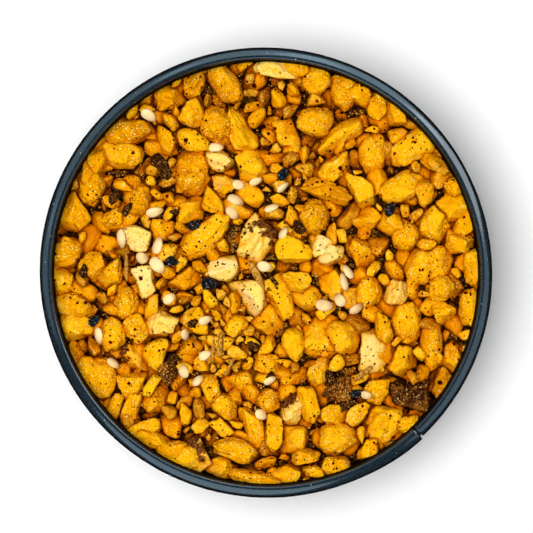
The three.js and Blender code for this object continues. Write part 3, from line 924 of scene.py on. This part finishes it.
def skin_scraps(heap, rng, laid, extra):
    """Thin, crumpled scraps of dark roasted skin: those listed, as (x, y, length, width, turn
    in degrees), and extra smaller ones that gather where the crumbs do."""
    parts = []
    spots = list(laid)
    for _ in range(extra):
        x0, y0, spread, _ = CRUMB_DRIFTS[rng.choice(len(CRUMB_DRIFTS), p=DRIFT_ODDS)]
        long = rng.uniform(1.2, 2.4)
        spots.append((rng.normal(x0, spread), rng.normal(y0, spread), long,
                      long * rng.uniform(0.3, 0.7), rng.uniform(0, 360)))
    for x, y, long, wide, turn_deg in spots:
        shape, _, _ = nut_shape(rng, "chunk", MEDIUM)
        flat = shape * np.array([long, wide, 0.7]) / 2
        flat = grainy(rng, flat, 0.12)
        flat[:, 2] += rng.uniform(-0.12, 0.3) * (flat[:, 1] ** 2 - 0.4 * flat[:, 0] ** 2)
        points = turned(flat, turn_deg, rng.normal(0, 16, 2))
        mark = heap.print_of(points, MEDIUM[1])
        z = heap.rest_height(heap.height, x, y, mark, 0.5)
        if z is None:
            continue
        z -= 0.3
        heap.settle(x, y, z, mark)
        parts.append((points + (x, y, z), MEDIUM[1], {"tone": np.full(len(points), rng.random())}))
    return parts


def rough_seeds(heap, rng, laid, box_mm):
    """Angular, pitted seeds, laid on the surface at their places."""
    parts = []
    for x, y, turn_deg, size in laid:
        shape, _, _ = nut_shape(rng, "drop" if box_mm[0] < 2 * box_mm[1] else "bar", MEDIUM)
        points = turned(shape * np.array(box_mm) * size / 2, turn_deg, rng.normal(0, 6, 2))
        points = grainy(rng, points, 0.07)
        mark = heap.print_of(points, MEDIUM[1])
        z = heap.rest_height(heap.height, x, y, mark, 0.8)
        heap.settle(x, y, z, mark)
        even = np.ones(len(points))
        parts.append((points + (x, y, z), MEDIUM[1], {"tone": even}))
    return parts


# ---------------------------------------------------------------- strewn seeds and crumbs
def strewn_tree():
    """Geometry nodes: a rounded seed of given sizes, tapered to a point, copied to every point of
    the input mesh with that point's own turn and size."""
    tree = bpy.data.node_groups.new("strewn_grains", "GeometryNodeTree")
    face = tree.interface
    face.new_socket("Geometry", in_out="OUTPUT", socket_type="NodeSocketGeometry")
    for label, kind, start in (
            ("Geometry", "Geometry", None), ("Length", "Float", 0.003), ("Width", "Float", 0.002),
            ("Thickness", "Float", 0.001), ("Point", "Float", 0.4), ("Segments", "Int", 8),
            ("Rings", "Int", 6), ("Coat", "Material", None)):
        socket = face.new_socket(label, in_out="INPUT", socket_type="NodeSocket" + kind)
        if start is not None:
            socket.default_value = start
    given = node(tree, "NodeGroupInput").outputs
    ball = node(tree, "GeometryNodeMeshUVSphere", Segments=given["Segments"], Rings=given["Rings"],
                Radius=0.5)
    lying = node(tree, "GeometryNodeTransform", Geometry=ball, Rotation=(0.0, math.pi / 2, 0.0))
    at = node(tree, "SeparateXYZ", node(tree, "GeometryNodeInputPosition")).outputs
    forward = node(tree, "Math", at["X"], 0.0, operation="MAXIMUM")
    tip = node(tree, "Math", forward, 2.0, operation="MULTIPLY")
    lying = node(tree, "GeometryNodeStoreNamedAttribute", Geometry=lying, Name="tip", Value=tip)
    pinch = node(tree, "Math", at["X"], given["Point"], operation="MULTIPLY")
    girth = node(tree, "Math", 1.0, pinch, operation="SUBTRACT")
    spans = [node(tree, "Math", at["X"], given["Length"], operation="MULTIPLY")]
    for axis, span in (("Y", "Width"), ("Z", "Thickness")):
        slim = node(tree, "Math", at[axis], girth, operation="MULTIPLY")
        spans.append(node(tree, "Math", slim, given[span], operation="MULTIPLY"))
    shaped = node(tree, "GeometryNodeSetPosition", Geometry=lying,
                  Position=node(tree, "CombineXYZ", *spans))
    soft = node(tree, "GeometryNodeSetShadeSmooth", Geometry=shaped)
    turn, size = (node(tree, "GeometryNodeInputNamedAttribute", data_type="FLOAT_VECTOR",
                       Name=mark).outputs["Attribute"] for mark in ("turn", "size"))
    laid = node(tree, "GeometryNodeInstanceOnPoints", Points=given["Geometry"], Instance=soft,
                Rotation=node(tree, "FunctionNodeEulerToRotation", Euler=turn), Scale=size)
    real = node(tree, "GeometryNodeRealizeInstances", laid)
    coated = node(tree, "GeometryNodeSetMaterial", Geometry=real, Material=given["Coat"])
    node(tree, "NodeGroupOutput", coated)
    return tree


def strewn(name, tree, material, spots, **sizes):
    """A piece of many grains. Each spot is (x, y, z, turn as three angles, size as three shares,
    tone)."""
    mesh = bpy.data.meshes.new(name + "_spots")
    mesh.from_pydata([[v * MM for v in spot[:3]] for spot in spots], [], [])
    for label, column in (("turn", 3), ("size", 4)):
        layer = mesh.attributes.new(label, "FLOAT_VECTOR", "POINT")
        layer.data.foreach_set("vector", np.array([s[column] for s in spots], np.float32).ravel())
    layer = mesh.attributes.new("tone", "FLOAT", "POINT")
    layer.data.foreach_set("value", np.array([s[5] for s in spots], np.float32))
    source = bpy.data.objects.new(name + "_spots", mesh)
    bpy.context.scene.collection.objects.link(source)
    modifier = source.modifiers.new("strew", "NODES")
    modifier.node_group = tree
    sizes["Coat"] = material
    for item in tree.interface.items_tree:
        if item.in_out == "INPUT" and item.name in sizes:
            modifier[item.identifier] = sizes[item.name]
    bpy.context.view_layer.update()
    evaluated = source.evaluated_get(bpy.context.evaluated_depsgraph_get())
    plain = bpy.data.meshes.new_from_object(evaluated)
    plain.name = name
    made = bpy.data.objects.new(name, plain)
    bpy.context.scene.collection.objects.link(made)
    bpy.data.objects.remove(source)
    return belongs(made, "dukkah", material)


def lying_on(heap, x, y, turn_deg, lift):
    """Place and turn of a flat grain that lies on the surface at a place, lifted by lift."""
    height, normal = heap.surface(x, y)
    flat = Vector((math.cos(math.radians(turn_deg)), math.sin(math.radians(turn_deg)), 0))
    heading = (flat - normal * flat.dot(normal)).normalized()
    lie = Matrix((heading, normal.cross(heading), normal)).transposed()
    return x, y, height + lift, tuple(lie.to_euler())


def sesame_spots(heap, rng, laid, thickness, tones):
    """The listed seeds, each a little sunk between its neighbours."""
    return [(*lying_on(heap, x, y, turn_deg, 0.35 * thickness), (size,) * 3, rng.uniform(*tones))
            for x, y, turn_deg, size in laid]


def crumb_spots(heap, rng, count, sizes_mm, drift_share):
    """Crumbs: some gather in drifts, the rest lie all over, and most rest in hollows."""
    spots = []
    while len(spots) < count:
        if rng.random() < drift_share:
            x0, y0, spread, _ = CRUMB_DRIFTS[rng.choice(len(CRUMB_DRIFTS), p=DRIFT_ODDS)]
            x, y = rng.normal(x0, spread), rng.normal(y0, spread)
        else:
            reach, azimuth = CRUMB_REACH * math.sqrt(rng.random()), rng.uniform(0, 2 * math.pi)
            x, y = reach * math.cos(azimuth), reach * math.sin(azimuth)
        if math.hypot(x, y) > CRUMB_REACH:
            continue
        height, _ = heap.surface(x, y, blur=1)
        if height > FILL_TOP - 2.8 and rng.random() < 0.985:
            continue
        size = rng.uniform(*sizes_mm) * rng.uniform(0.6, 1.0)
        shares = tuple(size * rng.uniform(0.5, 1.5, 3))
        turn = tuple(rng.uniform(0, 2 * math.pi, 3))
        spots.append((x, y, height + 0.25 * size, turn, shares, rng.random()))
    return spots


def core():
    """What the loose pieces rest on: packed crumbs, as a solid with a rough top."""
    rings, columns = 60, 180
    rng = np.random.default_rng(5)
    azimuths = np.linspace(0, 2 * math.pi, columns, endpoint=False)
    edge = FILL_RADIUS + 0.25 + out_of_round(azimuths)
    waves, phases = rng.normal(0, 1.5, (12, 2)), rng.uniform(0, 6.3, 12)
    vertices = [(0.0, 0.0, CORE_TOP)]
    for ring in range(1, rings + 1):
        x = edge * ring / rings * np.cos(azimuths)
        y = edge * ring / rings * np.sin(azimuths)
        rise = np.sin(np.outer(x, waves[:, 0]) + np.outer(y, waves[:, 1]) + phases).mean(axis=1)
        vertices += list(zip(x, y, CORE_TOP + 1.2 * rise - 0.3))
    vertices += list(zip(x, y, np.full(columns, FILL_LOW.z)))
    faces = []
    for ring in range(rings + 1):
        start = 1 + columns * ring
        for i in range(columns):
            after = (i + 1) % columns
            if ring == 0:
                faces.append((0, start + i, start + after))
            else:
                before = start - columns
                faces.append((before + i, start + i, start + after, before + after))
    foot = 1 + columns * rings
    faces.append(tuple(range(foot + columns - 1, foot - 1, -1)))
    return piece_from("packed_crumbs", vertices, faces)


# ---------------------------------------------------------------- the part
def dress_tin():
    paint = stoved_paint()
    belongs(tin_wall([paint, matt_paint_with_painted_shade()]), "tin_body")
    belongs(tin_foot(), "tin_base", paint)


def by_the_wall(x, y):
    """Whether a place lies in the outermost ring of pieces."""
    ring_width = 2.5
    return np.hypot(x, y) > INNER_RADIUS - ring_width


def in_the_drift(x, y):
    """Whether a place lies where the small bits of nut do."""
    return np.hypot(x - SMALL_BITS_AT[0], y - SMALL_BITS_AT[1]) < SMALL_BITS_REACH


def dress_filling():
    rng = np.random.default_rng(11)
    heap = Heap()
    nut = spiced_nut("oil_roasted_spiced_nut", "#a66200", "#da8e00", "#f0a500", "#fcbe10")
    split = spiced_nut("freshly_broken_nut", "#b87000", "#e89c00", "#fcba10", "#ffda70", 0.6,
                       chipped="#ffe4b0")
    toasted = spiced_nut("dark_toasted_nut", "#1a0a04", "#34180a", "#6a3c12", "#c4801c", 1.0,
                         chipped="#8c5c20", salted="#f4c078")
    crumb = plain_seed("ground_spice_crumb", "#280e02", "#e89c34", 0.5, 0.8, 0.02)
    belongs(core(), "dukkah", crumb)
    nuts = NutHeap(heap, rng)
    nuts.fill("nuts_bed", 5.2, 0.7, MEDIUM, 330, 2.8, 1.1, 1.3)
    nuts.fill("nuts_bed", 3.8, 0.5, MEDIUM, 260, 2.8, 1.1, 1.0)
    nuts.lay_by_hand()
    nuts.fill("nuts_small", 4.4, 0.5, MEDIUM, 110, 2.0, 0.5, 1.8, where=by_the_wall, level=True)
    nuts.fill("nuts_small", 4.6, 0.6, MEDIUM, 260, 1.9, 0.5, 1.8)
    nuts.fill("nuts_small", 3.6, 0.5, MEDIUM, 260, 1.9, 0.5, 1.4, level=True)
    nuts.fill("nuts_small", 2.8, 0.5, MEDIUM, 130, 2.1, 0.7, 1.0, level=True)
    nuts.fill("nuts_deep", 3.0, 0.6, MEDIUM, 160, 2.6, 1.0, 1.4)
    nuts.fill("nut_bits", 1.8, 0.5, COARSE, 60, 2.6, 0.9, 0.3)
    nuts.fill("nut_bits", 2.2, 0.7, COARSE, 70, 1.8, 0.4, 0.7, where=in_the_drift)
    mark_painted_shade(heap, [part for parts in nuts.groups.values() for part in parts])
    amber = spiced_nut("oil_soaked_nut_crumb", "#6a3a02", "#ac6c08", "#dc9814", "#f4b828",
                       chipped="#f4c050")
    coats = {"nuts_split": split, "nuts_toasted": toasted, "nuts_soaked": amber, "nut_bits": amber}
    for name, parts in nuts.groups.items():
        joined(name, parts, coats.get(name, nut))
    # The pale blue on the pit ridges of this black seed is a painted glint.
    black = pitted_coat("pitted_nigella_seed_coat", "#010202", "#5c90b8", "#d89c60", 0.12,
                        bare=0.56)
    joined("nigella_seeds", rough_seeds(heap, rng, NIGELLA_LAID, (2.8, 1.9, 1.5)), black)
    husk = pitted_coat("dried_seed_husk", "#8c5810", "#dca03c", "#ecc478", 0.02, bare=0.42,
                       pit_mm=0.15)
    joined("cumin_seeds", rough_seeds(heap, rng, CUMIN_LAID, (5.0, 1.15, 1.0)), husk)
    joined("husk_straws", rough_seeds(heap, rng, STRAWS_LAID, (4.8, 0.6, 0.5)), husk)
    skin = pitted_coat("dark_roasted_nut_skin", "#321604", "#986024", "#e8b878", 0.02)
    joined("skin_scraps", skin_scraps(heap, rng, SCRAPS_LAID, 4), skin)
    tree = strewn_tree()
    hull = plain_seed("hulled_sesame_seed", "#b87424", "#ffe2a4", 0.7, 0.5, 0.05, 0.5)
    strewn("sesame_seeds", tree, hull, sesame_spots(heap, rng, SESAME_LAID, 1.0, (0.75, 1.1)),
           Length=3.2 * MM, Width=2.1 * MM, Thickness=1.2 * MM, Point=0.45, Segments=14, Rings=11)
    strewn("spice_crumbs", tree, crumb, crumb_spots(heap, rng, 2000, (0.2, 0.45), 0.45),
           Length=1.0 * MM, Width=1.0 * MM, Thickness=0.9 * MM, Point=0.5, Segments=5, Rings=4)


def studio():
    """A pale floor, a soft key from above the left, and low strips that show along the bead."""
    scene = bpy.context.scene
    scene.view_settings.view_transform = "Standard"
    scene.view_settings.look = "None"
    side = 1500
    floor = piece_from("studio_floor", [(-side, -side, 0), (side, -side, 0), (side, side, 0),
                                        (-side, side, 0)], [(0, 1, 2, 3)], smooth=False)
    # Matt white paper, which keeps the floor pale and the shadow soft.
    paper, tree = material_named("white_paper_sweep")
    finish_with(tree, "#f4f4f4", 0.9)
    floor.data.materials.append(paper)

    world = bpy.data.worlds.new("studio_air")
    world.use_nodes = True
    sky = world.node_tree.nodes["Background"].inputs
    sky["Color"].default_value = (1, 1, 1, 1)
    sky["Strength"].default_value = 0.06
    scene.world = world

    # The key lights everything matt. The other softboxes only show in gloss, as bands on the bead.
    # Each is (name, azimuth, elevation, spans of azimuth and elevation in degrees, radiance).
    softbox("key", 186, 82, 30, 30, 18.0, matt=True)
    for name, azimuth, across, radiance, colour in (
            ("gloss_right", 30, 26, 7.5, (1.0, 0.8, 0.72)), ("gloss_upper_right", 62, 34, 3.4, (1, 1, 1)),
            ("gloss_top", 94, 34, 2.4, (1, 1, 1)), ("gloss_upper_left", 140, 44, 1.5, (1, 1, 1)),
            ("gloss_left", 180, 24, 1.2, (1, 1, 1)), ("gloss_bottom", 254, 46, 3.0, (1, 1, 1)),
            ("gloss_lower_right", 340, 44, 1.6, (1, 1, 1))):
        softbox(name, azimuth, 45, across, 47, radiance, matt=False, colour=colour)


def softbox(name, azimuth, elevation, across, up, radiance, matt, colour=(1, 1, 1)):
    """An oval softbox 0.9 m from the rim, which lights either matt surfaces or gloss."""
    far = 0.9
    lamp = bpy.data.lights.new(name, "AREA")
    lamp.shape = "ELLIPSE"
    lamp.color = colour
    lamp.size = 2 * far * math.tan(math.radians(across) / 2)
    lamp.size_y = 2 * far * math.tan(math.radians(up) / 2)
    lamp.energy = radiance * math.pi * lamp.size * lamp.size_y * math.pi / 4
    made = bpy.data.objects.new(name, lamp)
    a, e = math.radians(azimuth), math.radians(elevation)
    back = Vector((math.cos(a) * math.cos(e), math.sin(a) * math.cos(e), math.sin(e)))
    made.location = Vector((0, 0, RIM_TOP * MM)) + back * far
    made.rotation_euler = back.to_track_quat("Z", "Y").to_euler()
    made.visible_diffuse = matt
    made.visible_glossy = not matt
    made.visible_camera = False
    bpy.context.scene.collection.objects.link(made)


def overhead_camera():
    """Straight down on the tin from half a metre, with a little white all round and the tin just
    below the middle of the frame."""
    scene = bpy.context.scene
    camera = bpy.data.cameras.new("camera")
    distance = 0.5
    white_round = 1.1785
    frame_width = 2 * RIM_RADIUS * MM * white_round
    aside, above = 0.09, 1.03
    camera.sensor_width = 36.0
    camera.lens = 36.0 * distance / frame_width
    camera.clip_start, camera.clip_end = 0.01, 10
    made = bpy.data.objects.new("camera", camera)
    made.location = (aside * MM, above * MM, RIM_TOP * MM + distance)
    scene.collection.objects.link(made)
    scene.camera = made


dress_tin()
dress_filling()
studio()
overhead_camera()
